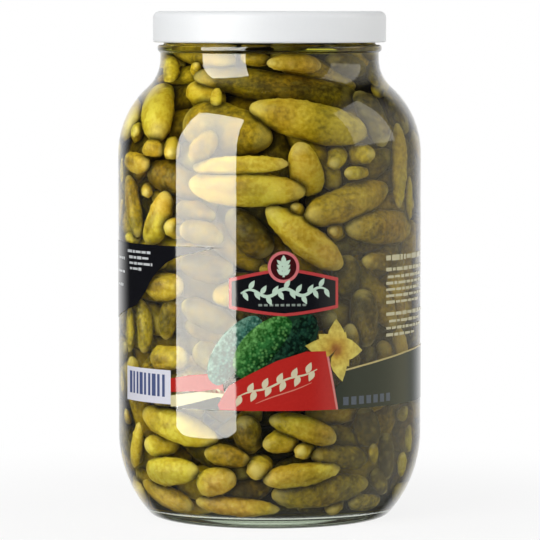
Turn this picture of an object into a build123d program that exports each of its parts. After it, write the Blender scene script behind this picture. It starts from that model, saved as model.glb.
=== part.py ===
"""Large glass jar of pickled gherkins with a white twist-off lid and a clear wrap label.

Millimetres, +Z up. The origin is the centre of the foot, on the surface that the jar stands on.
The middle of the label's front faces -Y.
"""

from build123d import *
import os
from math import degrees, radians, sin, sqrt

# Glass body
body_diameter = 136.5
jar_height = 227.3  # foot to sealing rim
wall = 2.9
heel_height = 38.0  # where the straight side begins
heel_radius = 55.0  # long curve from the side down to the foot
foot_corner = 6.0  # tight curve between the heel and the ground
foot_width = 3.6  # flat ring that the jar stands on
foot_step = 1.2  # the underside steps up inside the foot ring
punt_rise = 1.9  # and rises further to its middle
base_thickness = 5.6
floor_corner = 8.0
floor_rise = 3.0  # the floor inside rises to its middle

# Shoulder and neck
shoulder_radius = 40.0
neck_fillet = 17.0
neck_height = 3.1  # plain neck under the transfer bead
neck_inset = 1.25  # the neck lies this far inside the bead
bead_height = 3.2
bead_depth = 2.85  # the bead stands this far out from the finish
bead_round = 1.2

# Finish, the plain glass under the lid, and its threads
finish_diameter = 95.2
finish_wall = 3.2
mouth_flare_height = 5.5  # the bore narrows from neck to mouth over this height
rim_round = 1.1
thread_count = 6  # short sloping ribs, one for each lug of the lid
thread_depth = 1.8
thread_root = 0.8  # how deep a rib is sunk into the finish
thread_height = 2.4
thread_round = 0.8
thread_span = 42.0  # degrees
thread_slope = 3.0  # degrees

# Lid
lid_height = 14.0
lid_sheet = 0.25
lid_corner = 3.0
channel_reach = 2.2  # the raised ring on the rim reaches this far inside the mouth
panel_drop = 1.1  # the panel lies lower than that ring
step_diameter = 68.0
step_rise = 0.45
button_diameter = 20.0
button_rise = 0.5
form_run = 1.6  # each pressed step leans over this much radius
form_round = 0.7
curl_radius = 1.1
curl_turn = 285.0  # degrees of roll
curl_clearance = 0.85  # between the curl and the threads
bead_clearance = 1.05  # between the lid and the transfer bead
lug_height = 1.1
lug_round = 0.4
lug_span = 13.0  # degrees
lug_clearance = 0.75  # between a lug's tip and the finish
lug_lift = 0.25  # between a lug and the rib above it

# Label
label_lift = 15.7  # above the end of the heel's curve
label_height = 71.6
label_film = 0.1
label_glue = 0.03
label_gap_width = 16.0  # bare glass between the label's ends, at the back

# Contents
headspace = 8.2  # sealing rim down to the brine

# Radii and heights that follow from these
body_r = body_diameter / 2
finish_r = finish_diameter / 2
mouth_r = finish_r - finish_wall
thread_r = finish_r + thread_depth
bead_r = finish_r + bead_depth
neck_r = bead_r - neck_inset
lid_r = thread_r + curl_clearance + 2 * curl_radius
lid_top = jar_height + lid_sheet
lid_bottom = lid_top - lid_height
bead_top = lid_bottom - bead_clearance
bead_bottom = bead_top - bead_height
neck_bottom = bead_bottom - neck_height
label_bottom = heel_height + label_lift
brine_level = jar_height - headspace


def arc(centre, radius, start, sweep):
    """An arc in the radius-height plane, in degrees from the radius direction."""
    return CenterArc((centre.X, centre.Y), radius, start, sweep)


def side(inset, corner_radius, ground):
    """The side from a level ground line up to the neck, as tangent edges inset from the outside.

    Returns the edges and the radius at which the ground line ends.
    """
    heel = Vector(body_r - heel_radius, heel_height)
    rise = heel_height - ground - corner_radius
    reach = heel_radius - inset - corner_radius
    corner = Vector(heel.X + sqrt(reach**2 - rise**2), ground + corner_radius)
    turn = Vector(1, 0).get_angle(corner - heel)

    neck = Vector(neck_r + neck_fillet, neck_bottom)
    across = neck.X - (body_r - shoulder_radius)
    drop = sqrt((shoulder_radius + neck_fillet) ** 2 - across**2)
    shoulder = Vector(body_r - shoulder_radius, neck_bottom - drop)
    lean = Vector(1, 0).get_angle(neck - shoulder)
    edges = [
        arc(corner, corner_radius, -90, 90 - turn),
        arc(heel, heel_radius - inset, -turn, turn),
        Line((body_r - inset, heel.Y), (body_r - inset, shoulder.Y)),
        arc(shoulder, shoulder_radius - inset, 0, lean),
        arc(neck, neck_fillet + inset, 180 + lean, -lean),
    ]
    return edges, corner.X


def domed(radius, height, rise):
    """A shallow dome from the axis, rise above height, down to height at the radius."""
    part_way = 0.6
    middle = (radius * part_way, height + rise * (1 - part_way**2))
    return ThreePointArc((0, height + rise), middle, (radius, height))


def turned(edges):
    """The solid that a closed outline in the radius-height plane sweeps round the axis."""
    return revolve(Plane.XZ * make_face(Curve() + edges), Axis.Z, 360)


def outside():
    """The glass as a full solid, up to the sealing rim."""
    edges, foot_r = side(0, foot_corner, 0)
    foot_inner = foot_r - foot_width
    step_r = foot_inner - foot_step
    bead = Vector(bead_r - bead_round, bead_bottom + bead_round)
    bead_upper = Vector(bead.X, bead_top - bead_round)
    rim = Vector(finish_r - rim_round, jar_height - rim_round)
    edges += [
        Line((foot_r, 0), (foot_inner, 0)),
        Line((foot_inner, 0), (step_r, foot_step)),
        domed(step_r, foot_step, punt_rise),
        Line((0, foot_step + punt_rise), (0, jar_height)),
        Line((0, jar_height), (rim.X, jar_height)),
        arc(rim, rim_round, 0, 90),
        Line((finish_r, rim.Y), (finish_r, bead_top)),
        Line((finish_r, bead_top), (bead.X, bead_top)),
        arc(bead_upper, bead_round, 0, 90),
        Line((bead_r, bead_upper.Y), (bead_r, bead.Y)),
        arc(bead, bead_round, -90, 90),
        Line((bead.X, bead_bottom), (neck_r, bead_bottom)),
        Line((neck_r, bead_bottom), (neck_r, neck_bottom)),
    ]
    return turned(edges)


def cavity():
    """The space inside the glass, up to the level of the sealing rim."""
    edges, floor_r = side(wall, floor_corner, base_thickness)
    bore_bottom = neck_bottom + mouth_flare_height
    rim = Vector(mouth_r + rim_round, jar_height - rim_round)
    edges += [
        domed(floor_r, base_thickness, floor_rise),
        Line((0, base_thickness + floor_rise), (0, jar_height)),
        Line((0, jar_height), (rim.X, jar_height)),
        arc(rim, rim_round, 90, 90),
        Line((mouth_r, rim.Y), (mouth_r, bore_bottom)),
        Line((mouth_r, bore_bottom), (neck_r - wall, neck_bottom)),
    ]
    return turned(edges)


def sector(inner, outer, height, rounding, span):
    """A bar with rounded edges, bent round the axis over span degrees, its middle on +X."""
    section = Pos((inner + outer) / 2, 0) * RectangleRounded(outer - inner, height, rounding)
    return Rot(0, 0, -span / 2) * revolve(Plane.XZ * section, Axis.Z, span)


def around(piece, count):
    """Copies of a piece, evenly spaced round the axis."""
    return [Rot(0, 0, 360 / count * i) * piece for i in range(count)]


def lug_middle():
    return lid_bottom + curl_radius


def thread():
    """One rib, sloping like a screw thread and clear of the lug that pulls up under it."""
    slope_drop = thread_r * sin(radians(lug_span / 2)) * sin(radians(thread_slope))
    underside = lug_middle() + lug_height / 2 + lug_lift + slope_drop
    rib = sector(finish_r - thread_root, thread_r, thread_height, thread_round, thread_span)
    return Pos(0, 0, underside + thread_height / 2) * Rot(thread_slope, 0, 0) * rib


def jar(inside):
    glass = outside() - inside
    for rib in around(thread(), thread_count):
        glass += rib
    return glass


def lid_sheet_path():
    """Middle of the lid's sheet, from the centre of its panel out and down to the curl."""
    skirt_r = lid_r - lid_sheet / 2
    top = lid_top - lid_sheet / 2
    panel = top - panel_drop
    button_r = button_diameter / 2
    step_r = step_diameter / 2
    ring_r = mouth_r - channel_reach
    pressed = FilletPolyline(
        (0, panel + button_rise),
        (button_r - form_run, panel + button_rise),
        (button_r, panel),
        (step_r - form_run, panel),
        (step_r, panel + step_rise),
        (ring_r - form_run, panel + step_rise),
        (ring_r, top),
        (skirt_r, top),
        (skirt_r, lug_middle()),
        radius=[form_round] * 4 + [form_round / 2] * 2 + [lid_corner],
    )
    roll = curl_radius - lid_sheet / 2
    curl = CenterArc((skirt_r - roll, lug_middle()), roll, 0, -curl_turn)
    return Wire([*pressed.edges(), *curl.edges()])


def lid():
    band = lid_sheet_path().offset_2d(lid_sheet / 2, Kind.ARC, Side.BOTH)
    cap = revolve(Plane.XZ * make_face(band.edges()), Axis.Z, 360)
    root = lid_r - lid_sheet - curl_radius
    lug = Pos(0, 0, lug_middle()) * sector(
        finish_r + lug_clearance, root, lug_height, lug_round, lug_span
    )
    for copy in around(lug, thread_count):
        cap += copy
    return cap


def label():
    """Clear film round the straight side, open at the back."""
    inner = body_r + label_glue
    outer = inner + label_film
    gap = degrees(label_gap_width / outer)
    band = Rectangle(label_film, label_height)
    band = Pos((inner + outer) / 2, label_bottom + label_height / 2) * band
    return Rot(0, 0, 90 + gap / 2) * revolve(Plane.XZ * band, Axis.Z, 360 - gap)


def gherkins_in_brine(inside):
    """The contents as one body that fills the jar up to the brine's level."""
    return inside & Pos(0, 0, brine_level / 2) * Box(body_diameter, body_diameter, brine_level)


def main():
    inside = cavity()
    nodes = {
        "jar": jar(inside),
        "lid": lid(),
        "label": label(),
        "gherkins_in_brine": gherkins_in_brine(inside),
    }
    os.makedirs("parts", exist_ok=True)
    for name, shape in nodes.items():
        export_step(shape, f"parts/{name}.step")
    print("brimful capacity", round(inside.volume / 1000), "ml")
    print("glass", round(nodes["jar"].volume / 1000, 1), "ml")
    print("brine level at", round(brine_level, 2), "lid diameter", round(2 * lid_r, 2))


main()
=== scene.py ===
import bpy
import bmesh
import numpy as np
from math import asin, atan2, cos, pi, radians, sin, sqrt, tan
from mathutils import Matrix, Vector


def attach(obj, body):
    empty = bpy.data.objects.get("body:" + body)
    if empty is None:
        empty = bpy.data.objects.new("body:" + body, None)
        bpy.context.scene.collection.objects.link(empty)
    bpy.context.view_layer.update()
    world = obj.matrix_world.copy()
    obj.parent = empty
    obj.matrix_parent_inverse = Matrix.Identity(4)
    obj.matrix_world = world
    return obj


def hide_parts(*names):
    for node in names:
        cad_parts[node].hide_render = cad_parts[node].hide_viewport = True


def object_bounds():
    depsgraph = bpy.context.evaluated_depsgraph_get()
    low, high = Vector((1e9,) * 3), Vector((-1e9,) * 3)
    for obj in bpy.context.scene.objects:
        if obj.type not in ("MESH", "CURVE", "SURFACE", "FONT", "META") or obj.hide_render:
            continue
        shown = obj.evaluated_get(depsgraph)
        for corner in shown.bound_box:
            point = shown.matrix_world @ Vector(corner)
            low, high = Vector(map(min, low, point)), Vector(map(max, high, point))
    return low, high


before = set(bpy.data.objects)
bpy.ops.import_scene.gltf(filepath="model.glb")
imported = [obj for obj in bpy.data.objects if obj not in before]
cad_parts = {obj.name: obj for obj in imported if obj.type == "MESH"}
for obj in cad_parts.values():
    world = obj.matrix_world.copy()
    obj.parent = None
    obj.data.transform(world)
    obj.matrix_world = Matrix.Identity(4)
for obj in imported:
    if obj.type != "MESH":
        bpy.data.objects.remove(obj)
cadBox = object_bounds()
mm = 0.001
glassIndex = 1.5
brineIndex = 1.34
rng = np.random.default_rng(41)


def linearColour(hexText, alpha=1.0):  # sRGB hex to linear
    out = []
    for i in (0, 2, 4):
        c = int(hexText[i:i + 2], 16) / 255
        out.append(c / 12.92 if c <= 0.04045 else ((c + 0.055) / 1.055) ** 2.4)
    return (*out, alpha)


def addNode(tree, kind, settings=None, links=None):  # settings go to attributes or inputs, links to inputs
    node = tree.nodes.new("ShaderNode" + kind)
    for key, value in (settings or {}).items():
        if isinstance(key, str) and hasattr(node, key):
            setattr(node, key, value)
        else:
            node.inputs[key].default_value = value
    for key, socket in (links or {}).items():
        tree.links.new(socket, node.inputs[key])
    return node


def cells(size):  # the scale at which a noise or Voronoi pattern has cells of this many mm
    return 1000 / size


def newMaterial(name):
    material = bpy.data.materials.new(name)
    material.use_nodes = True
    material.node_tree.nodes.clear()
    return material, material.node_tree


def makePiece(name, bm, material, replaced=(), smooth=True):
    mesh = bpy.data.meshes.new(name)
    bm.to_mesh(mesh)
    bm.free()
    return addPiece(name, mesh, material, replaced, smooth)


def addPiece(name, mesh, material, replaced=(), smooth=True):
    mesh.polygons.foreach_set("use_smooth", [smooth] * len(mesh.polygons))
    mesh.set_sharp_from_angle(angle=radians(50))
    for m in material if isinstance(material, (list, tuple)) else [material]:
        mesh.materials.append(m)
    piece = bpy.data.objects.new(name, mesh)
    bpy.context.scene.collection.objects.link(piece)
    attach(piece, "root")
    if replaced:
        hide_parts(*replaced)
    return piece


def arcPoints(cx, cz, radius, start, end, step=3.0):  # degrees; points along a round stretch, in mm
    count = max(2, int(abs(radians(end - start)) * radius / step) + 1, int(abs(end - start) / 7) + 1)
    return [(cx + radius * cos(radians(start + (end - start) * i / count)),
             cz + radius * sin(radians(start + (end - start) * i / count))) for i in range(count + 1)]


def linePoints(x0, z0, x1, z1, step=4.0):
    count = max(1, int(sqrt((x1 - x0) ** 2 + (z1 - z0) ** 2) / step))
    return [(x0 + (x1 - x0) * i / count, z0 + (z1 - z0) * i / count) for i in range(count + 1)]


def spinProfile(points, steps=192, closed=False, angle=2 * pi):  # (radius, height) in mm, turned about Z
    bm = bmesh.new()
    row = []
    for x, z in points:
        if not row or (Vector((x * mm, 0, z * mm)) - row[-1].co).length > 1e-6:
            row.append(bm.verts.new((x * mm, 0, z * mm)))
    edges = [bm.edges.new(pair) for pair in zip(row, row[1:])]
    if closed:
        edges.append(bm.edges.new((row[-1], row[0])))
    full = abs(angle - 2 * pi) < 1e-6
    bmesh.ops.spin(bm, geom=row + edges, cent=(0, 0, 0), axis=(0, 0, 1), dvec=(0, 0, 0),
                   angle=angle, steps=steps, use_merge=full)
    bmesh.ops.remove_doubles(bm, verts=bm.verts, dist=2e-6)
    if not full and closed:  # close both ends
        ends = [e for e in bm.edges if e.is_boundary]
        bmesh.ops.edgeloop_fill(bm, edges=ends)
    bmesh.ops.recalc_face_normals(bm, faces=bm.faces)
    return bm


def turnPart(part, degrees):
    turned = Matrix.Rotation(radians(degrees), 3, "Z")
    bmesh.ops.rotate(part, verts=part.verts, cent=(0, 0, 0), matrix=turned)


def joinPart(bm, part):
    mesh = bpy.data.meshes.new("part")
    part.to_mesh(mesh)
    part.free()
    bm.from_mesh(mesh)
    bpy.data.meshes.remove(mesh)


lidTop = cadBox[1].z
cameraSet = {
    "distance": 1.73,  # m in front of the jar's axis, level with the lid's top
    "aside": 0.0002,
    "aimHeight": 0.1108,
    "lens": 255.8,
}


def makeCamera():
    data = bpy.data.cameras.new("camera")
    data.lens = cameraSet["lens"]
    data.clip_start = 0.1
    data.clip_end = 20
    camera = bpy.data.objects.new("camera", data)
    bpy.context.scene.collection.objects.link(camera)
    camera.location = (cameraSet["aside"], -cameraSet["distance"], lidTop)
    aim = Vector((cameraSet["aside"], 0, cameraSet["aimHeight"])) - camera.location
    camera.rotation_mode = "QUATERNION"
    camera.rotation_quaternion = aim.to_track_quat("-Z", "Y")
    bpy.context.scene.camera = camera


jarShape = {  # mm, as the frame's jar is made
    "bodyR": 68.25, "height": 227.3, "wall": 2.9,
    "heelHeight": 38.0, "heelR": 55.0, "footCorner": 6.0, "footWidth": 3.6, "footStep": 1.2,
    "puntRise": 1.9, "baseThickness": 5.6, "floorCorner": 8.0, "floorRise": 3.0,
    "footGreen": 5.0, "wetFrom": 4.5, "uprightFrom": 20.0,
    "shoulderR": 40.0, "neckFillet": 17.0, "neckR": 49.2, "neckBottom": 206.2,
    "beadR": 50.45, "beadBottom": 209.3, "beadTop": 212.5, "beadRound": 1.2,
    "finishR": 47.6, "mouthR": 44.4, "flare": 5.5, "rimRound": 1.1,
    "threads": 6, "threadR": 49.4, "threadHeight": 2.4, "threadMiddle": 216.94, "threadSpan": 42.0,
    "threadSlope": 3.0, "threadEdge": 0.7, "threadRoot": 0.6,
}


def sideProfile(inset, corner, ground):  # from the ground line's end up to the neck
    s = jarShape
    hx, hz = s["bodyR"] - s["heelR"], s["heelHeight"]
    reach = s["heelR"] - inset - corner
    rise = hz - ground - corner
    cx, cz = hx + sqrt(reach ** 2 - rise ** 2), ground + corner
    turn = atan2(hz - cz, cx - hx) * 180 / pi
    nx, nz = s["neckR"] + s["neckFillet"], s["neckBottom"]
    sx = s["bodyR"] - s["shoulderR"]
    sz = nz - sqrt((s["shoulderR"] + s["neckFillet"]) ** 2 - (nx - sx) ** 2)
    lean = atan2(nz - sz, nx - sx) * 180 / pi
    points = arcPoints(cx, cz, corner, -90, -turn, 1.2)
    points += arcPoints(hx, hz, s["heelR"] - inset, -turn, 0)
    points += linePoints(s["bodyR"] - inset, hz, s["bodyR"] - inset, sz)
    points += arcPoints(sx, sz, s["shoulderR"] - inset, 0, lean)
    points += arcPoints(nx, nz, s["neckFillet"] + inset, 180 + lean, 180, 2.0)
    return points, cx


def domeProfile(radius, height, rise):  # from the axis outwards
    return [(radius * i / 14, height + rise * (1 - (i / 14) ** 2)) for i in range(15)]


def insideProfile(swell=0.0, top=None):  # the wall's inner face, swell mm out into the glass
    s = jarShape
    side, floorR = sideProfile(s["wall"] - swell, s["floorCorner"] + swell, s["baseThickness"] - swell)
    points = domeProfile(floorR, s["baseThickness"] - swell, s["floorRise"]) + side
    bore = s["mouthR"] + swell
    points += linePoints(s["neckR"] - s["wall"] + swell, s["neckBottom"], bore,
                         s["neckBottom"] + s["flare"], 1.5)
    if top is None:
        rim = s["rimRound"]
        points += linePoints(bore, s["neckBottom"] + s["flare"], bore, s["height"] - rim, 2.0)
        points += arcPoints(bore + rim, s["height"] - rim, rim, 180, 90, 0.4)
    else:
        points += linePoints(bore, s["neckBottom"] + s["flare"], bore, top, 2.0)
    return points


def outsideProfile():
    s = jarShape
    side, footR = sideProfile(0, s["footCorner"], 0)
    inner = footR - s["footWidth"]
    b, r = s["beadRound"], s["rimRound"]
    points = domeProfile(inner - s["footStep"], s["footStep"], s["puntRise"])
    points += linePoints(inner - s["footStep"], s["footStep"], inner, 0, 0.6)
    points += linePoints(inner, 0, footR, 0, 1.2) + side
    points += linePoints(s["neckR"], s["neckBottom"], s["neckR"], s["beadBottom"] - 0.5, 1.0)
    points += arcPoints(s["neckR"] + 0.5, s["beadBottom"] - 0.5, 0.5, 180, 90, 0.3)
    points += arcPoints(s["beadR"] - b, s["beadBottom"] + b, b, -90, 0, 0.3)
    points += arcPoints(s["beadR"] - b, s["beadTop"] - b, b, 0, 90, 0.3)
    points += linePoints(s["finishR"] + 0.4, s["beadTop"], s["finishR"], s["beadTop"] + 0.4, 0.3)
    points += linePoints(s["finishR"], s["beadTop"] + 0.4, s["finishR"], s["height"] - r, 2.0)
    points += arcPoints(s["finishR"] - r, s["height"] - r, r, 0, 90, 0.4)
    return points


def makeJar(glass, wetGlass, footGlass, brineLevel):
    s = jarShape
    outer = outsideProfile()
    inner = insideProfile()
    bm = spinProfile(outer + inner[::-1])
    for face in bm.faces:  # the inner face below the brine's level is wet
        c = face.calc_center_median()
        toAxis = face.normal.x * c.x + face.normal.y * c.y
        inside = toAxis < 0 if c.z > s["uprightFrom"] * mm else face.normal.z > 0
        face.material_index = 1 if inside and s["wetFrom"] * mm < c.z < brineLevel * mm else 0
        if not inside and c.z < s["footGreen"] * mm:
            face.material_index = 2
    step = 360 / s["threads"]
    half, edge, root = s["threadHeight"] / 2, s["threadEdge"], s["finishR"] - s["threadRoot"]
    for i in range(s["threads"]):  # ribs that the lid's lugs pull under
        rib = [(root, -half), (s["threadR"] - edge, -half), (s["threadR"], -half + edge),
               (s["threadR"], half - edge), (s["threadR"] - edge, half), (root, half)]
        part = spinProfile(rib, 14, closed=True, angle=radians(s["threadSpan"]))
        turnPart(part, step * i - s["threadSpan"] / 2)
        for v in part.verts:
            along = atan2(v.co.y, v.co.x) - radians(step * i)
            along = (along + pi) % (2 * pi) - pi
            v.co.z += (s["threadMiddle"] + s["threadR"] * sin(along) * sin(radians(s["threadSlope"]))) * mm
        joinPart(bm, part)
    return makePiece("glassJar", bm, [glass, wetGlass, footGlass], ["jar"])


lidShape = {  # mm
    "r": 52.45, "top": 227.55, "bottom": 213.55, "sheet": 0.25, "corner": 3.0,
    "ringR": 42.2, "drop": 1.1, "stepR": 34.0, "stepRise": 0.45, "buttonR": 10.0, "buttonRise": 0.5,
    "run": 1.6, "curl": 1.1, "lugs": 6, "lugTip": 48.35, "lugHeight": 1.1, "lugSpan": 13.0, "lugEdge": 0.3,
}


def easeStep(x0, z0, x1, z1, count=6):  # a soft pressed step
    out = []
    for i in range(count + 1):
        t = i / count
        out.append((x0 + (x1 - x0) * t, z0 + (z1 - z0) * t * t * (3 - 2 * t)))
    return out


def makeLid(enamel):
    s = lidShape
    half = s["sheet"] / 2
    top, r = s["top"] - half, s["r"] - half
    panel = top - s["drop"]
    points = linePoints(0, panel + s["buttonRise"], s["buttonR"] - s["run"], panel + s["buttonRise"])
    points += easeStep(s["buttonR"] - s["run"], panel + s["buttonRise"], s["buttonR"], panel)
    points += linePoints(s["buttonR"], panel, s["stepR"] - s["run"], panel)
    points += easeStep(s["stepR"] - s["run"], panel, s["stepR"], panel + s["stepRise"])
    points += linePoints(s["stepR"], panel + s["stepRise"], s["ringR"] - s["run"], panel + s["stepRise"])
    points += easeStep(s["ringR"] - s["run"], panel + s["stepRise"], s["ringR"], top)
    points += linePoints(s["ringR"], top, r - s["corner"], top)
    points += arcPoints(r - s["corner"], top - s["corner"], s["corner"], 90, 0, 0.5)
    curlZ = s["bottom"] + s["curl"]
    points += linePoints(r, top - s["corner"], r, curlZ, 2.0)
    roll = s["curl"] - half
    points += arcPoints(r - roll, curlZ, roll, 0, -285, 0.3)
    bm = spinProfile(points)
    piece = makePiece("twistOffLid", bm, enamel, ["lid"])
    solid = piece.modifiers.new("sheet", "SOLIDIFY")
    solid.thickness = s["sheet"] * mm
    solid.offset = 0
    solid.use_even_offset = True
    lugs = bmesh.new()
    x0, x1 = s["lugTip"], s["r"] - s["sheet"] - s["curl"]
    h, edge = s["lugHeight"] / 2, s["lugEdge"]
    section = [(x0, curlZ - h + edge), (x0 + edge, curlZ - h), (x1, curlZ - h), (x1, curlZ + h),
               (x0 + edge, curlZ + h), (x0, curlZ + h - edge)]
    for i in range(s["lugs"]):
        part = spinProfile(section, 6, closed=True, angle=radians(s["lugSpan"]))
        turnPart(part, 360 / s["lugs"] * i - s["lugSpan"] / 2)
        joinPart(lugs, part)
    makePiece("lidLugs", lugs, enamel)


labelShape = {  # mm; the film wraps round from one side of the gap at the back to the other
    "r": 68.38, "bottom": 53.7, "height": 71.6, "film": 0.1, "half": 206.8,
    "layer": 0.03, "ink": 0.02, "slice": 2.0,
}


def printShapes(name, shapes, layer, ink, tone=None, film=False):
    # shapes are outlines in mm, along the label from its front middle and up from its lower edge
    s = labelShape
    deep = s["film"] if film else s["ink"]
    base = s["r"] - s["film"] if film else s["r"] + layer * s["layer"]
    bm = bmesh.new()
    for i, outline in enumerate(shapes):
        row = [bm.verts.new((u, v, i * 0.0015)) for u, v in outline]
        edges = [bm.edges.new(pair) for pair in zip(row, row[1:] + row[:1])]
        bmesh.ops.triangle_fill(bm, edges=edges, use_beauty=True, use_dissolve=False)
    low = min(v.co.x for v in bm.verts)
    high = max(v.co.x for v in bm.verts)
    for k in range(int(low / s["slice"]) - 1, int(high / s["slice"]) + 2):  # the same cuts in every layer
        bisectAt(bm, (k * s["slice"], 0, 0), (1, 0, 0))
    if tone:
        for k in range(1, int(s["height"] / s["slice"])):
            bisectAt(bm, (0, k * s["slice"], 0), (0, 1, 0))
    bmesh.ops.recalc_face_normals(bm, faces=bm.faces)
    bmesh.ops.solidify(bm, geom=bm.faces[:], thickness=deep)
    lowest = min(v.co.z for v in bm.verts)
    toneLayers = [bm.verts.layers.float.new(label) for label in ("across", "along")] if tone else []
    for v in bm.verts:
        for layerKey, value in zip(toneLayers, tone(v.co.x, v.co.y) if tone else ()):
            v[layerKey] = value
        r = base + v.co.z - lowest
        turn = v.co.x / s["r"]
        v.co = Vector((r * sin(turn), -r * cos(turn), s["bottom"] + v.co.y)) * mm
    bmesh.ops.recalc_face_normals(bm, faces=bm.faces)
    return makePiece(name, bm, ink, ["label"])


def bisectAt(bm, place, normal):
    geom = bm.verts[:] + bm.edges[:] + bm.faces[:]
    bmesh.ops.bisect_plane(bm, geom=geom, dist=1e-5, plane_co=place, plane_no=normal)


def leafShape(u, v, length, width, lean, count=5):  # a pointed leaf from its foot
    out = []
    for side in (1, -1):
        steps = range(count) if side > 0 else range(count, 0, -1)
        for i in steps:
            t = i / count
            w = width / 2 * sin(pi * t ** 0.8) * side
            out.append((u + t * length * cos(radians(lean)) - w * sin(radians(lean)),
                        v + t * length * sin(radians(lean)) + w * cos(radians(lean))))
    return out


def barShape(u0, v0, u1, v1, width):
    du, dv = u1 - u0, v1 - v0
    size = sqrt(du * du + dv * dv) * 2 / width
    a, b = -dv / size, du / size
    return [(u0 - a, v0 - b), (u1 - a, v1 - b), (u1 + a, v1 + b), (u0 + a, v0 + b)]


def wordBars(u0, u1, v, width, shortest, longest):  # a line of plain bars, as long as words
    out = []
    while u0 < u1 - 0.8:
        end = min(u0 + rng.uniform(shortest, longest), u1)
        out.append(barShape(u0, v, end, v, width * rng.uniform(0.8, 1.15)))
        u0 = end + 0.7
    return out


def ringShape(u, v, r, count=28):
    return [(u + r * cos(2 * pi * i / count), v + r * sin(2 * pi * i / count)) for i in range(count)]


def cucumberShape(u0, v0, u1, v1, thick, bend=1.5, count=36):
    du, dv = (u1 - u0) / 2, (v1 - v0) / 2
    half = sqrt(du * du + dv * dv)
    a, b = -dv / half, du / half
    out = []
    for i in range(count):
        t = 2 * pi * i / count
        along = cos(t)
        side = (abs(sin(t)) ** 0.8) * (1 if sin(t) >= 0 else -1) * thick / 2 * (1 - 0.1 * along)
        side += bend * (1 - along ** 2)
        out.append((u0 + du + du * along + a * side, v0 + dv + dv * along + b * side))
    return out


def cucumberTone(u0, v0, u1, v1, thick, bend=1.5):
    du, dv = (u1 - u0) / 2, (v1 - v0) / 2
    half = sqrt(du * du + dv * dv)

    def tone(u, v):
        x, y = u - u0 - du, v - v0 - dv
        along = (x * du + y * dv) / half ** 2
        across = ((-x * dv + y * du) / half - bend * (1 - along ** 2)) / (thick / 2)
        return across, along
    return tone


def wavyStem(u0, v0, u1, v1, swing, waves, width, count=40):
    middle = []
    for i in range(count + 1):
        t = i / count
        middle.append(Vector((u0 + (u1 - u0) * t, v0 + (v1 - v0) * t + swing * sin(waves * 2 * pi * t))))
    upper, lower = [], []
    for i, p in enumerate(middle):
        run = (middle[min(i + 1, count)] - middle[max(i - 1, 0)]).normalized()
        side = Vector((-run.y, run.x)) * width / 2 * (1 - 0.6 * abs(2 * i / count - 1) ** 3)
        upper.append(tuple(p + side))
        lower.append(tuple(p - side))
    return upper + lower[::-1]


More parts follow.
